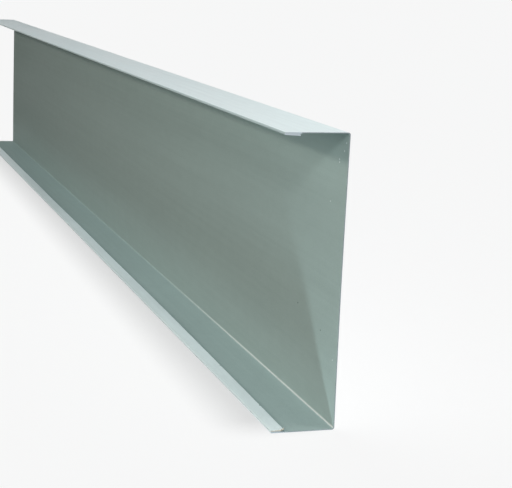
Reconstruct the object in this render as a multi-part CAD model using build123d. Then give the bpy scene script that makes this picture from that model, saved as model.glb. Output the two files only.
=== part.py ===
from build123d import *

import os

# Side flashing: one strip of coated steel sheet, folded into a long channel with hemmed edges.
# The channel runs along X. Its web stands at +Y and its open side faces -Y.
# The origin lies under the middle of the channel, on the level that the lower flange stands on.

# Driving dimensions in millimetres, and one angle in degrees
LENGTH = 1500.0  # along the roof's edge
WEB_HEIGHT = 200.0  # outside the two flanges
FLANGE_WIDTH = 45.0  # from the outside of the web to the outside of the hem's fold
HEM_WIDTH = 11.0  # from the outside of the hem's fold to its cut edge
SHEET = 0.6  # steel with its coats
BEND_RADIUS = 1.0  # inside the corner between web and flange
HEM_GAP = 0.6  # between flange and hem, at the fold
HEM_OPENING = 3.0  # angle by which the hem stands open from the flange

# Radii at the middle of the sheet
CORNER_RADIUS = BEND_RADIUS + SHEET / 2
FOLD_RADIUS = (HEM_GAP + SHEET) / 2

# What a corner or a fold takes from the outside width of the flat beside it
CORNER_REACH = CORNER_RADIUS + SHEET / 2
FOLD_REACH = FOLD_RADIUS + SHEET / 2

# Flat stretches between the bends
HALF_WEB = WEB_HEIGHT / 2 - CORNER_REACH
FLANGE_FLAT = FLANGE_WIDTH - CORNER_REACH - FOLD_REACH
HEM_FLAT = HEM_WIDTH - FOLD_REACH

# The sheet's middle in the web, with the channel's width centred on the origin
WEB_MIDDLE = FLANGE_WIDTH / 2 - SHEET / 2


def run_on(edge, length):
    """A straight stretch that goes on from the end of an edge, in the same direction."""
    return Line(edge @ 1, edge @ 1 + (edge % 1) * length)


def sheet_line(offset):
    """One side of the sheet in the upper half of the section, from mid-web to the hem's cut edge.

    The section is drawn flat, with Y to the right and Z upwards. The offset counts from the
    middle of the sheet, and is positive towards the coat on the channel's outside.
    """
    mid_web = (WEB_MIDDLE + offset, WEB_HEIGHT / 2)
    web = Line(mid_web, (WEB_MIDDLE + offset, WEB_HEIGHT / 2 + HALF_WEB))
    corner = JernArc(web @ 1, web % 1, CORNER_RADIUS + offset, 90)
    flange = run_on(corner, FLANGE_FLAT)
    fold = JernArc(flange @ 1, flange % 1, FOLD_RADIUS + offset, 180 - HEM_OPENING)
    hem = run_on(fold, HEM_FLAT)
    return Wire([web, corner, flange, fold, hem])


def folded_section():
    """The whole section: the upper half, and the lower half as its mirror image."""
    outer = sheet_line(SHEET / 2)
    inner = sheet_line(-SHEET / 2)
    mid_web = Line(outer @ 0, inner @ 0)
    cut_edge = Line(outer @ 1, inner @ 1)
    upper = make_face([*outer.edges(), cut_edge, *inner.edges(), mid_web])
    mid_height = Plane((0, WEB_HEIGHT / 2, 0), z_dir=(0, 1, 0))
    return upper + mirror(upper, about=mid_height)


side_flashing = extrude(Plane.YZ * folded_section(), amount=LENGTH / 2, both=True)
side_flashing.label = "side_flashing"

os.makedirs("parts", exist_ok=True)
export_step(side_flashing, "parts/side_flashing.step")
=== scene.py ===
import math

import bpy
import numpy as np
from mathutils import Matrix, Vector

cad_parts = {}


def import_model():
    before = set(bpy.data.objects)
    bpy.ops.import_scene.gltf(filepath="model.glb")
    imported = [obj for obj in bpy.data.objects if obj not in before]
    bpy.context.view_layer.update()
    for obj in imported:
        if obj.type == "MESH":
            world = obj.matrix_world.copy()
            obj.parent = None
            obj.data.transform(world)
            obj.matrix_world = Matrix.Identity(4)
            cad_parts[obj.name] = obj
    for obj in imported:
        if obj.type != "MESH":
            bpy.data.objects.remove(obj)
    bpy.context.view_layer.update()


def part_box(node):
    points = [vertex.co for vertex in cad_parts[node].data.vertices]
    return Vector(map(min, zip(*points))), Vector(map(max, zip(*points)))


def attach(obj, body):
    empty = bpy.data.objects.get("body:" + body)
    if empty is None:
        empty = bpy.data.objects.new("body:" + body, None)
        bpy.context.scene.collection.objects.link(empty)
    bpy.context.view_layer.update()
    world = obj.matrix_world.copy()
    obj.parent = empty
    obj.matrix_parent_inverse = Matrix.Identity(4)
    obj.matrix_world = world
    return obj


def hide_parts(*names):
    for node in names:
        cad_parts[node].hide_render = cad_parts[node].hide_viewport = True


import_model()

# All lengths are in metres, in the part's own frame: X along the channel, web at +Y, Z up.
# The end that is nearest in the photo is at +X.
MM = 0.001
NODE = "side_flashing"
LOW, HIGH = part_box(NODE)
LENGTH = HIGH.x - LOW.x
FLANGE_WIDTH = HIGH.y - LOW.y
WEB_HEIGHT = HIGH.z - LOW.z

# The folded sheet
SHEET = 0.6 * MM
BEND_RADIUS = 1.0 * MM
HEM_GAP = 0.6 * MM
HEM_WIDTH = 11.0 * MM
HEM_OPENING = math.radians(3.0)
CORNER_RADIUS = BEND_RADIUS + SHEET / 2
CORNER_REACH = CORNER_RADIUS + SHEET / 2
HALF_WEB = WEB_HEIGHT / 2 - CORNER_REACH
FOLD_RADIUS = (HEM_GAP + SHEET) / 2
FOLD_REACH = FOLD_RADIUS + SHEET / 2
FLANGE_FLAT = FLANGE_WIDTH - CORNER_REACH - FOLD_REACH

# What the folding machine left uneven along the channel
HEM_WIDTH_WAVE = 0.15 * MM
HEM_WIDTH_WAVE_LENGTH = 310 * MM
HEM_WIDTH_RIPPLE = 0.06 * MM
HEM_WIDTH_RIPPLE_LENGTH = 47 * MM
HEM_OPENING_WAVE = math.radians(0.5)
HEM_OPENING_WAVE_LENGTH = 460 * MM
LOWER_HEM_START = 1.0  # where each hem's waves start, in radians
UPPER_HEM_START = 2.6
HEM_TAPER = 1.6 * MM  # the lower hem is narrower at the near end
HEM_TAPER_REACH = 330 * MM
WEB_WAVE = 0.22 * MM  # the web is not quite flat
WEB_WAVE_LENGTH = 520 * MM
WEB_WAVE_START = 0.6
WEB_RIPPLE = 0.11 * MM
WEB_RIPPLE_LENGTH = 210 * MM
WEB_RIPPLE_START = 2.0
NEAR_BOW = 0.45 * MM  # the web's near edge bows inwards
NEAR_BOW_REACH = 120 * MM

# What the shears did at the two ends
BURR_REACH = 0.6 * MM
BURR_CLOSES = 0.94  # share of the hem's gap that the burr fills
TIP_LIFT = 1.1 * MM  # corner of the lower hem, bent up at the near end
TIP_REACH = 3.0 * MM

# Nicks in the lower hem's cut edge: distance from the near end, and depth
NICKS = ((53 * MM, 0.7 * MM), (153 * MM, 0.6 * MM))
NICK_REACH = 1.6 * MM

# Divisions of each stretch of the half-section, with one more on a flat this close to each end
WEB_STEPS, CORNER_STEPS, FLANGE_STEPS, FOLD_STEPS, HEM_STEPS = 20, 8, 14, 12, 6
EASE = 0.25 * MM

# Divisions of the length: even steps, fine steps at the two ends, and stations at each nick
STATION_STEP = 12.5 * MM
FINE_STEP = 1.5 * MM
FINE_REACH = 27 * MM
NICK_STATIONS = 9
STATION_DIGITS = 6  # decimals, in metres

# The mesh's parts, in the order in which their faces are made
OUTER_SKIN, INNER_SKIN, FAR_RIM, NEAR_RIM, LOWER_RIM, UPPER_RIM = range(6)
CUT_SLOT = 2  # material slot of all rims
SHARP_ANGLE = math.radians(40)  # edges that turn by more than this look sharp

# Baking layout: skins in strips of half the length each, then the thin rims
STRIPS = 4
STRIP_HEIGHT = 0.225
STRIP_STEP = 0.235
RIM_HEIGHT = 0.008
RIM_STEP = 0.014
MARGIN = 0.004


def fade(distance, reach):
    """1 at no distance, falling smoothly to 0 at the reach and beyond."""
    left = max(0.0, 1 - abs(distance) / reach)
    return left * left * (3 - 2 * left)


def wave(x, length, start):
    """A sine along the channel, with its phase in radians."""
    return math.sin(2 * math.pi * x / length + start)


def bend_shares(steps):
    """Even divisions of a bend, up to its end at 1."""
    return np.linspace(0, 1, steps + 1)[1:]


def flat_shares(length, steps):
    """Even divisions of a flat stretch, up to its end at 1, with one more close to each end."""
    ease = EASE / length
    return [ease, *bend_shares(steps)[:-1], 1 - ease, 1]


def hem_shape(x, lower):
    """Opening angle and width of one hem at one place along the channel."""
    start = LOWER_HEM_START if lower else UPPER_HEM_START
    opening = HEM_OPENING + HEM_OPENING_WAVE * wave(x, HEM_OPENING_WAVE_LENGTH, start)
    width = HEM_WIDTH + HEM_WIDTH_WAVE * wave(x, HEM_WIDTH_WAVE_LENGTH, start)
    width += HEM_WIDTH_RIPPLE * wave(x, HEM_WIDTH_RIPPLE_LENGTH, start)
    if lower:
        from_near_end = HIGH.x - x
        width -= HEM_TAPER * fade(from_near_end, HEM_TAPER_REACH)
        width -= sum(depth * fade(from_near_end - place, NICK_REACH) for place, depth in NICKS)
    return opening, width


def half_section(x, lower):
    """Half of the section at one place along the channel, from mid-web to the hem's cut edge.

    It is drawn as the upper half. Points are (Y, Z) in the middle of the sheet, and normals
    point to the outer coat. With them come the distances along the sheet, and the gap between
    flange and hem at each point.
    """
    opening, hem_width = hem_shape(x, lower)
    hem_flat = hem_width - FOLD_REACH
    fold_turn = math.pi - opening
    fold_length = FOLD_RADIUS * fold_turn
    stretches = [
        (HALF_WEB, 0.0, flat_shares(HALF_WEB, WEB_STEPS)),
        (CORNER_RADIUS * math.pi / 2, math.pi / 2, bend_shares(CORNER_STEPS)),
        (FLANGE_FLAT, 0.0, flat_shares(FLANGE_FLAT, FLANGE_STEPS)),
        (fold_length, fold_turn, bend_shares(FOLD_STEPS)),
        (hem_flat, 0.0, flat_shares(hem_flat, HEM_STEPS)),
    ]
    place = np.array([FLANGE_WIDTH / 2 - SHEET / 2, WEB_HEIGHT / 2])
    heading = math.pi / 2
    travelled = 0.0
    points, normals, along = [place], [np.array([1.0, 0.0])], [0.0]
    for length, turn, fractions in stretches:
        for t in fractions:
            angle = heading + turn * t
            if turn:
                across = math.sin(angle) - math.sin(heading)
                upwards = math.cos(heading) - math.cos(angle)
                here = place + length / turn * np.array([across, upwards])
            else:
                here = place + length * t * np.array([math.cos(heading), math.sin(heading)])
            points.append(here)
            normals.append(np.array([math.sin(angle), -math.cos(angle)]))
            along.append(travelled + length * t)
        place, heading, travelled = here, heading + turn, travelled + length
    points, normals, along = np.array(points), np.array(normals), np.array(along)

    hem_starts = travelled - hem_flat
    from_fold = np.maximum(hem_starts - fold_length - along, along - hem_starts)
    wedge = HEM_GAP + np.maximum(from_fold, 0) * math.sin(opening)
    gap = np.where(from_fold < hem_flat, wedge, 0)
    if lower:
        lift = TIP_LIFT * fade(HIGH.x - x, TIP_REACH)
        lifts = np.array([lift * fade(travelled - s, TIP_REACH) for s in along])
        points = points + normals * lifts[:, None]
    return points, normals, along, gap


def whole_section(x):
    """The section at one place along the channel, from the lower cut edge to the upper one."""
    up_points, up_normals, up_along, up_gap = half_section(x, False)
    low_points, low_normals, low_along, low_gap = half_section(x, True)
    mirror = np.array([1.0, -1.0])
    mirrored = low_points[:0:-1] * mirror + np.array([0, WEB_HEIGHT])
    points = np.concatenate([mirrored, up_points])
    normals = np.concatenate([low_normals[:0:-1] * mirror, up_normals])
    along = np.concatenate([-low_along[:0:-1], up_along])
    gap = np.concatenate([low_gap[:0:-1], up_gap])
    bulge = WEB_WAVE * wave(x, WEB_WAVE_LENGTH, WEB_WAVE_START)
    bulge += WEB_RIPPLE * wave(x, WEB_RIPPLE_LENGTH, WEB_RIPPLE_START)
    bulge -= NEAR_BOW * fade(HIGH.x - x, NEAR_BOW_REACH)
    mid_height = np.clip(np.cos(np.pi * (points[:, 1] / WEB_HEIGHT - 0.5)), 0, 1)
    faces_out = np.clip(normals[:, 0], 0, 1)
    points[:, 0] += bulge * mid_height * faces_out
    return points, normals, along, gap


def stations():
    """Places along the channel: even steps, with fine ones at the two ends and at the nicks."""
    coarse = np.arange(-LENGTH / 2, LENGTH / 2 + STATION_STEP / 2, STATION_STEP)
    fine = np.arange(0, FINE_REACH, FINE_STEP)
    end = np.concatenate([fine, [BURR_REACH / 2, BURR_REACH]])
    around_nick = np.linspace(-NICK_REACH, NICK_REACH, NICK_STATIONS)
    nicks = [HIGH.x - place + around_nick for place, _ in NICKS]
    places = np.concatenate([coarse, LENGTH / 2 - end, end - LENGTH / 2, *nicks])
    return np.unique(places.round(STATION_DIGITS))


def grid_faces(rows, columns, first, flip):
    """Quads of a grid of vertices, row by row."""
    corner = first + np.arange(rows - 1)[:, None] * columns + np.arange(columns - 1)[None, :]
    ring = [corner, corner + 1, corner + columns + 1, corner + columns]
    quads = np.stack(ring, axis=-1).reshape(-1, 4)
    return quads[:, ::-1] if flip else quads


def rim_faces(line, count, flip):
    """Quads across the sheet's thickness, along a line of vertices of the outer skin."""
    quads = np.column_stack([line[:-1], line[1:], line[1:] + count, line[:-1] + count])
    return quads[:, ::-1] if flip else quads


def bake_map(mesh, faces, part_of_face, vertices, along, count):
    """A map on which nothing overlaps: length of the channel by distance around the section."""
    corners = faces.reshape(-1)
    part = np.repeat(part_of_face, 4)
    is_skin = part <= INNER_SKIN
    is_end = (part == FAR_RIM) | (part == NEAR_RIM)
    half = np.repeat(vertices[faces, 0].mean(axis=1) > 0, 4).astype(int)
    from_far_end = vertices[corners, 0] + LENGTH / 2
    around = (along[corners % count] - along.min()) / np.ptp(along)

    u = np.where(is_skin, from_far_end / (LENGTH / 2) - half, from_far_end / LENGTH)
    u = np.where(is_end, around, u)
    u = MARGIN + (1 - 2 * MARGIN) * u
    strip = part * 2 + half
    on_strip = strip * STRIP_STEP + STRIP_HEIGHT * around
    rim = STRIPS * STRIP_STEP + (part - FAR_RIM) * RIM_STEP
    on_rim = rim + RIM_HEIGHT * (corners >= count)
    v = MARGIN + np.where(is_skin, on_strip, on_rim)
    layer = mesh.uv_layers.new(name="OFBake")
    layer.data.foreach_set("uv", np.column_stack([u, v]).astype(np.float32).reshape(-1))


def sheet_mesh():
    """The folded sheet as one closed mesh: outer skin, inner skin and the cut rims between.

    The vertices of the inner skin follow those of the outer skin, in the same order.
    """
    places = stations()
    outer, inner, around = [], [], []
    for x in places:
        points, normals, along, gap = whole_section(x)
        burr = gap / 2 * BURR_CLOSES * fade(LENGTH / 2 - abs(x), BURR_REACH)
        for skin, offset in ((outer, np.full(len(gap), SHEET / 2)), (inner, -SHEET / 2 - burr)):
            yz = points + normals * offset[:, None]
            skin.append(np.column_stack([np.full(len(yz), x), yz]))
        around.append(along)
    rows, columns = len(places), len(along)
    count = rows * columns
    vertices = np.concatenate([*outer, *inner])
    first_row = np.arange(columns)
    first_column = np.arange(rows) * columns
    parts = {
        OUTER_SKIN: grid_faces(rows, columns, 0, True),
        INNER_SKIN: grid_faces(rows, columns, count, False),
        FAR_RIM: rim_faces(first_row, count, True),
        NEAR_RIM: rim_faces(first_row + (rows - 1) * columns, count, False),
        LOWER_RIM: rim_faces(first_column, count, False),
        UPPER_RIM: rim_faces(first_column + columns - 1, count, True),
    }
    faces = np.concatenate(list(parts.values()))
    part_of_face = np.repeat(list(parts), [len(quads) for quads in parts.values()])
    slots = np.minimum(part_of_face, CUT_SLOT)
    mesh = bpy.data.meshes.new("folded_sheet")
    mesh.from_pydata(vertices.tolist(), [], faces.tolist())
    mesh.polygons.foreach_set("material_index", slots.astype(np.int32))
    bake_map(mesh, faces, part_of_face, vertices, np.concatenate(around), count)
    mesh.shade_smooth()
    mesh.set_sharp_from_angle(angle=SHARP_ANGLE)
    return mesh


def put(name, data):
    """Adds an object to the scene."""
    made = bpy.data.objects.new(name, data)
    bpy.context.scene.collection.objects.link(made)
    return made


def node(tree, kind, inputs=None, **options):
    """Adds a node, sets its options, and sets or links its inputs, given by name or by number."""
    made = tree.nodes.new(kind)
    for name, value in options.items():
        setattr(made, name, value)
    for key, value in (inputs or {}).items():
        if isinstance(value, bpy.types.NodeSocket):
            tree.links.new(value, made.inputs[key])
        else:
            made.inputs[key].default_value = value
    return made


def noise(tree, place, per_metre, detail):
    """Cloudy noise, with its number of clouds per metre along X, Y and Z."""
    counted = node(tree, "ShaderNodeVectorMath", {0: place, 1: per_metre}, operation="MULTIPLY")
    inputs = {"Vector": counted.outputs["Vector"], "Scale": 1.0, "Detail": detail}
    return node(tree, "ShaderNodeTexNoise", inputs).outputs["Fac"]


def ranged(tree, value, span, to=(0.0, 1.0)):
    """Turns one span of values into another, smoothly and with no values beyond it."""
    inputs = {"Value": value, "From Min": span[0], "From Max": span[1]}
    inputs |= {"To Min": to[0], "To Max": to[1]}
    made = node(tree, "ShaderNodeMapRange", inputs, interpolation_type="SMOOTHSTEP")
    return made.outputs["Result"]


def maths(tree, operation, *values):
    """One step of arithmetic."""
    made = node(tree, "ShaderNodeMath", dict(enumerate(values)), operation=operation)
    return made.outputs["Value"]


def product(tree, first, *others):
    """Several masks multiplied: 1 where all of them are 1."""
    for other in others:
        first = maths(tree, "MULTIPLY", first, other)
    return first


# Sockets of a mix of colours, which share their names with those of other mixes
MIX_FACTOR, MIX_FIRST, MIX_SECOND = 0, 6, 7
MIX_RESULT = 2


def mixed(tree, factor, first, second):
    """A colour between two colours."""
    inputs = {MIX_FACTOR: factor, MIX_FIRST: first, MIX_SECOND: second}
    return node(tree, "ShaderNodeMix", inputs, data_type="RGBA").outputs[MIX_RESULT]


def paint(colour, share=1.0):
    """A colour for a socket, made darker or paler by the share."""
    return (*(min(1.0, c * share) for c in colour), 1.0)


def axes(tree, place):
    """The place's X, Y and Z."""
    return node(tree, "ShaderNodeSeparateXYZ", {0: place}).outputs


def toned(tree, place, colour, layers):
    """A coat's colour, darker and paler by several noises added up around one half."""
    tone = 0.5
    for per_metre, detail, weight in layers:
        centred = maths(tree, "SUBTRACT", noise(tree, place, per_metre, detail), 0.5)
        tone = maths(tree, "MULTIPLY_ADD", centred, weight, tone)
    return mixed(tree, tone, paint(colour, DARKEST), paint(colour, PALEST))


def specks(tree, place, marks):
    """1 on round specks on the inside of the web, 0 elsewhere."""
    total = 0.0
    for along, height in marks:
        centre = (HIGH.x - along * MM, HIGH.y - SHEET, height * MM)
        inputs = {0: place, 1: centre}
        distance = node(tree, "ShaderNodeVectorMath", inputs, operation="DISTANCE")
        speck = ranged(tree, distance.outputs["Value"], (SPECK_RADIUS, SPECK_RADIUS / 2))
        total = maths(tree, "MAXIMUM", speck, total)
    return total


def bend_highlight(tree, place):
    """1 on the painted highlight along the inside bend at the foot of the web, 0 elsewhere."""
    at = axes(tree, place)
    low = ranged(tree, at["Z"], BEND_HIGHLIGHT_TOP)
    near_web = ranged(tree, at["Y"], [HIGH.y - reach for reach in BEND_HIGHLIGHT_SIDE])
    near_end = ranged(tree, at["X"], [HIGH.x - reach for reach in BEND_HIGHLIGHT_LENGTH])
    return product(tree, low, near_web, near_end)


def new_material(name):
    """A material with its node tree, its shader and the place on the object."""
    material = bpy.data.materials.new(name)
    material.use_nodes = True
    tree = material.node_tree
    place = node(tree, "ShaderNodeTexCoord").outputs["Object"]
    return material, tree, tree.nodes["Principled BSDF"], place


def roughen(tree, shader, place, clouds, roughness, grain_depth):
    """Cloudy roughness, and the fine unevenness of a rolled coat."""
    cloudy = ranged(tree, noise(tree, place, *clouds), CLOUD_SPAN, roughness)
    tree.links.new(cloudy, shader.inputs["Roughness"])
    inputs = {"Height": noise(tree, place, *GRAIN), "Distance": grain_depth, "Strength": 1.0}
    bump = node(tree, "ShaderNodeBump", inputs)
    tree.links.new(bump.outputs["Normal"], shader.inputs["Normal"])


# Tones of the coats: how far they go, and the noises that lay them out.
# A noise is clouds per metre along X, Y and Z, and its detail. A layer has a weight as well.
DARKEST, PALEST = 0.86, 1.14
OUTER_CLOUDS = ((6, 24, 24), 3.0)
OUTER_LAYERS = (
    (*OUTER_CLOUDS, 0.6),
    ((5, 300, 300), 2.0, 0.45),
    ((45, 160, 160), 3.0, 0.3),
    ((900, 900, 900), 1.0, 0.25),
)
INNER_CLOUDS = ((5, 18, 18), 3.0)
INNER_LAYERS = (
    (*INNER_CLOUDS, 0.5),
    ((4, 260, 260), 2.0, 0.4),
    ((60, 120, 120), 3.0, 0.3),
    ((1100, 1100, 1100), 1.0, 0.5),
)
CUT_LAYERS = (((400, 400, 400), 3.0, 0.9),)
CLOUD_SPAN = (0.35, 0.65)  # where most of a noise's values lie
GRAIN = ((420, 420, 420), 2.0)

# Pairs of lengths below are where a look begins and where it is complete.
# Outer coat, with painted shade darkening the folds at the open side
OUTER_COLOUR = (0.70, 0.785, 0.775)
OUTER_ROUGHNESS = (0.44, 0.54)
OUTER_GRAIN_DEPTH = 0.006 * MM
FOLD_SHADE_COLOUR = (0.35, 0.44, 0.43)
FOLD_SIDE = (LOW.y + FOLD_REACH, LOW.y + FOLD_REACH / 3)
LOWER_FOLD_SHADE_SHARE = 0.3  # how much of the painted shade the lower fold has
UPPER_HALF = (WEB_HEIGHT / 3, WEB_HEIGHT / 2)  # heights where the upper hem's looks take over

# Inner coat, with specks on the web: distance from the near end and height, in millimetres
INNER_COLOUR = (0.325, 0.41, 0.385)
INNER_ROUGHNESS = (0.56, 0.64)
INNER_GRAIN_DEPTH = 0.008 * MM
INNER_GLOSS = 0.02
PALE_SPECKS = ((4.6, 192.6), (7.4, 187.0), (15.4, 180.6), (15.1, 178.7), (8.0, 46.0), (27.6, 150.6))
PALE_SPECK_COLOUR = (0.75, 0.80, 0.80)
DARK_SPECKS = ((81.9, 67.7), (33.3, 60.1))
DARK_SPECK_COLOUR = (0.06, 0.07, 0.06)
SPECK_RADIUS = 0.8 * MM

# Painted highlight: a paler line along the inside bend at the foot of the web, fading away from the
# near end
BEND_HIGHLIGHT_COLOUR = (0.56, 0.60, 0.57)
BEND_HIGHLIGHT_TOP = (2.3 * MM, 1.5 * MM)
BEND_HIGHLIGHT_SIDE = (1.3 * MM, 0.8 * MM)  # from the web's outside
BEND_HIGHLIGHT_LENGTH = (550 * MM, 120 * MM)  # from the near end

# Cut edges: bare, with a painted highlight making the hems' cut edges paler, and a stain on the
# lower hem's near end
CUT_COLOUR = (0.29, 0.33, 0.35)
CUT_METAL = 0.3
CUT_ROUGHNESS = 0.5
HEM_EDGE_HIGHLIGHT_COLOUR = (0.56, 0.62, 0.66)
LOWER_HEM_HIGHLIGHT_SHARE = 0.5  # how much of the painted highlight the lower hem has
HEM_SIDE = (LOW.y + 12 * MM, LOW.y + 11 * MM)
STAIN_COLOUR = (0.50, 0.45, 0.36)
STAIN_END = (HIGH.x - 0.4 * MM, HIGH.x - 0.2 * MM)
STAIN_FOOT = (1.0 * MM, 1.4 * MM)
STAIN_TOP = (6.0 * MM, 5.0 * MM)


def outer_coat():
    """The pale coat on the outside of the sheet."""
    material, tree, shader, place = new_material("outer_coat")
    colour = toned(tree, place, OUTER_COLOUR, OUTER_LAYERS)
    at = axes(tree, place)
    on_fold = ranged(tree, at["Y"], FOLD_SIDE)
    share = ranged(tree, at["Z"], UPPER_HALF, (LOWER_FOLD_SHADE_SHARE, 1.0))
    # Painted shade on the folds at the open side, stronger on the upper fold
    colour = mixed(tree, product(tree, on_fold, share), colour, paint(FOLD_SHADE_COLOUR))
    tree.links.new(colour, shader.inputs["Base Color"])
    roughen(tree, shader, place, OUTER_CLOUDS, OUTER_ROUGHNESS, OUTER_GRAIN_DEPTH)
    return material


def inner_coat():
    """The grey-green backing coat on the inside of the sheet."""
    material, tree, shader, place = new_material("inner_coat")
    colour = toned(tree, place, INNER_COLOUR, INNER_LAYERS)
    pale = specks(tree, place, PALE_SPECKS)
    colour = mixed(tree, pale, colour, paint(PALE_SPECK_COLOUR))
    dark = specks(tree, place, DARK_SPECKS)
    colour = mixed(tree, dark, colour, paint(DARK_SPECK_COLOUR))
    # Painted highlight along the inside bend at the foot of the web
    colour = mixed(tree, bend_highlight(tree, place), colour, paint(BEND_HIGHLIGHT_COLOUR))
    tree.links.new(colour, shader.inputs["Base Color"])
    shader.inputs["Specular IOR Level"].default_value = INNER_GLOSS
    roughen(tree, shader, place, INNER_CLOUDS, INNER_ROUGHNESS, INNER_GRAIN_DEPTH)
    return material


def cut_edge():
    """Bare zinc and steel where the sheet was sheared."""
    material, tree, shader, place = new_material("cut_edge")
    colour = toned(tree, place, CUT_COLOUR, CUT_LAYERS)
    at = axes(tree, place)
    on_hem = ranged(tree, at["Y"], HEM_SIDE)
    share = ranged(tree, at["Z"], UPPER_HALF, (LOWER_HEM_HIGHLIGHT_SHARE, 1.0))
    # Painted highlight on the hems' cut edges, stronger on the upper hem
    colour = mixed(tree, product(tree, on_hem, share), colour, paint(HEM_EDGE_HIGHLIGHT_COLOUR))
    at_end = ranged(tree, at["X"], STAIN_END)
    above = ranged(tree, at["Z"], STAIN_FOOT)
    below = ranged(tree, at["Z"], STAIN_TOP)
    stain = product(tree, at_end, on_hem, above, below)
    colour = mixed(tree, stain, colour, paint(STAIN_COLOUR))
    tree.links.new(colour, shader.inputs["Base Color"])
    shader.inputs["Metallic"].default_value = CUT_METAL
    shader.inputs["Roughness"].default_value = CUT_ROUGHNESS
    return material


sheet = put("folded_sheet", sheet_mesh())
for coat in (outer_coat(), inner_coat(), cut_edge()):
    sheet.data.materials.append(coat)
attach(sheet, "root")
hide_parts(NODE)

# Studio floor, surroundings and lamps
WHITE = (1.0, 1.0, 1.0)
FLOOR_REACH = 60.0
FLOOR_WHITE = 0.93
FLOOR_BOUNCE = 0.1  # how pale the floor is to the light that it throws back onto the object
FLOOR_GLOW = 0.72  # share of the floor's white that no shadow takes away
WORLD_WHITE = 0.93
WORLD_LIGHT = 0.03
WORLD_TINT = (0.65, 0.95, 1.0)
LAMP_DISTANCE = 3.0

# Photo: 512 by 488 pixels, focal length in pixels, and where the camera stood
PHOTO_WIDTH = 512
FOCAL_PIXELS = 1410.0
SENSOR = 36.0
CAMERA_PLACE = Vector((HIGH.x + 0.8410, -0.3148, 0.3018))
CAMERA_AHEAD = Vector((-0.93222, 0.30637, -0.19263))
CAMERA_UP = Vector((-0.19631, 0.01807, 0.98038))
NEAREST_SEEN = 0.01
FARTHEST_SEEN = 200.0


def seen(tree):
    """1 for rays that show the background: from the camera, in gloss and through glass."""
    path = node(tree, "ShaderNodeLightPath").outputs
    shown = maths(tree, "MAXIMUM", path["Is Camera Ray"], path["Is Glossy Ray"])
    return maths(tree, "MAXIMUM", shown, path["Is Transmission Ray"])


def floor():
    """A pale floor that throws only little light back onto the object."""
    mesh = bpy.data.meshes.new("floor")
    ring = [(-1, -1), (1, -1), (1, 1), (-1, 1)]
    corners = [(x * FLOOR_REACH, y * FLOOR_REACH, 0) for x, y in ring]
    mesh.from_pydata(corners, [], [(0, 1, 2, 3)])
    plane = put("floor", mesh)
    material, tree, shader, _ = new_material("floor")
    shown = seen(tree)
    lit = FLOOR_WHITE * (1 - FLOOR_GLOW)
    colour = mixed(tree, shown, paint(WHITE, FLOOR_BOUNCE), paint(WHITE, lit))
    glow = maths(tree, "MULTIPLY", shown, FLOOR_WHITE * FLOOR_GLOW)
    tree.links.new(colour, shader.inputs["Base Color"])
    tree.links.new(glow, shader.inputs["Emission Strength"])
    shader.inputs["Emission Color"].default_value = paint(WHITE)
    shader.inputs["Roughness"].default_value = 1.0
    shader.inputs["Specular IOR Level"].default_value = 0.0
    mesh.materials.append(material)
    return plane


def world():
    """White to the camera and in gloss, and a weak light from all around."""
    sky = bpy.data.worlds.new("studio")
    bpy.context.scene.world = sky
    sky.use_nodes = True
    tree = sky.node_tree
    background = tree.nodes["Background"]
    shown = seen(tree)
    strength = maths(tree, "MULTIPLY_ADD", shown, WORLD_WHITE - WORLD_LIGHT, WORLD_LIGHT)
    colour = mixed(tree, shown, paint(WORLD_TINT), paint(WHITE))
    tree.links.new(strength, background.inputs["Strength"])
    tree.links.new(colour, background.inputs["Color"])


def group(name, member):
    """A collection of one object, for lamps that light or are blocked by it alone."""
    collection = bpy.data.collections.new(name)
    collection.objects.link(member)
    return collection


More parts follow.
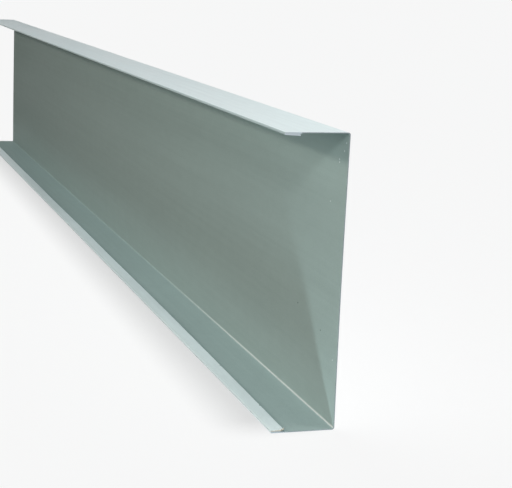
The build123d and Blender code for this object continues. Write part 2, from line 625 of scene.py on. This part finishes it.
def lamp(name, towards, strength, spread, colour=WHITE, distance=LAMP_DISTANCE, wider=1.0):
    """A round lamp, or one that is wider than high, that faces the channel's near end.

    Its direction points from there to the lamp, its strength is in W/m2 there, and its spread
    is how large it looks from there, in degrees.
    """
    light = bpy.data.lights.new(name, "AREA")
    light.shape = "ELLIPSE"
    light.size_y = 2 * distance * math.tan(math.radians(spread / 2))
    light.size = light.size_y * wider
    light.energy = strength * math.pi * distance ** 2
    light.color = colour
    holder = put(name, light)
    way = Vector(towards).normalized()
    holder.location = Vector((HIGH.x, 0, WEB_HEIGHT / 2)) + way * distance
    holder.rotation_euler = way.to_track_quat("Z", "Y").to_euler()
    holder.light_linking.receiver_collection = sheet_alone
    holder.light_linking.blocker_collection = sheet_alone


def floor_lamp(name, towards, strength, spread):
    """A far lamp that lights the floor alone, the same all over."""
    light = bpy.data.lights.new(name, "SUN")
    light.energy = strength
    light.angle = math.radians(spread)
    holder = put(name, light)
    holder.rotation_euler = Vector(towards).to_track_quat("Z", "Y").to_euler()
    holder.light_linking.receiver_collection = floor_alone


def camera():
    """The camera at the photo's viewing angle."""
    lens = bpy.data.cameras.new("camera")
    lens.sensor_width = SENSOR
    lens.lens = FOCAL_PIXELS * SENSOR / PHOTO_WIDTH
    lens.clip_start = NEAREST_SEEN
    lens.clip_end = FARTHEST_SEEN
    holder = put("camera", lens)
    ahead = CAMERA_AHEAD.normalized()
    right = ahead.cross(CAMERA_UP).normalized()
    up = right.cross(ahead)
    turn = Matrix((right, up, -ahead)).transposed()
    holder.matrix_world = Matrix.Translation(CAMERA_PLACE) @ turn.to_4x4()
    bpy.context.scene.camera = holder


floor_alone = group("floor_alone", floor())
sheet_alone = group("sheet_alone", sheet)
world()
lamp("side", (0.0, -1.0, 0.46), 0.85, 7, (1.0, 0.93, 0.86))
lamp("side_wide", (0.2, -1.0, 0.15), 0.8, 25, (1.0, 0.98, 0.95), distance=1.5)
lamp("end", (1.0, -0.4, 0.6), 0.9, 8, distance=1.5)
lamp("low", (1.0, -0.56, -1.57), 2.1, 4, (0.8, 0.94, 1.0), distance=0.5, wider=4.0)
lamp("over", (0.0, -1.0, 3.75), 1.3, 4, (0.87, 0.93, 1.0))
lamp("behind", (0.3, 0.9, 1.0), 1.3, 40, distance=0.6)
lamp("back", (-0.25, 1.0, 0.0), 1.8, 10)
floor_lamp("floor_sun", (0.05, 0.1, 1.0), 3.05, 12)
camera()
bpy.context.scene.view_settings.view_transform = "Standard"
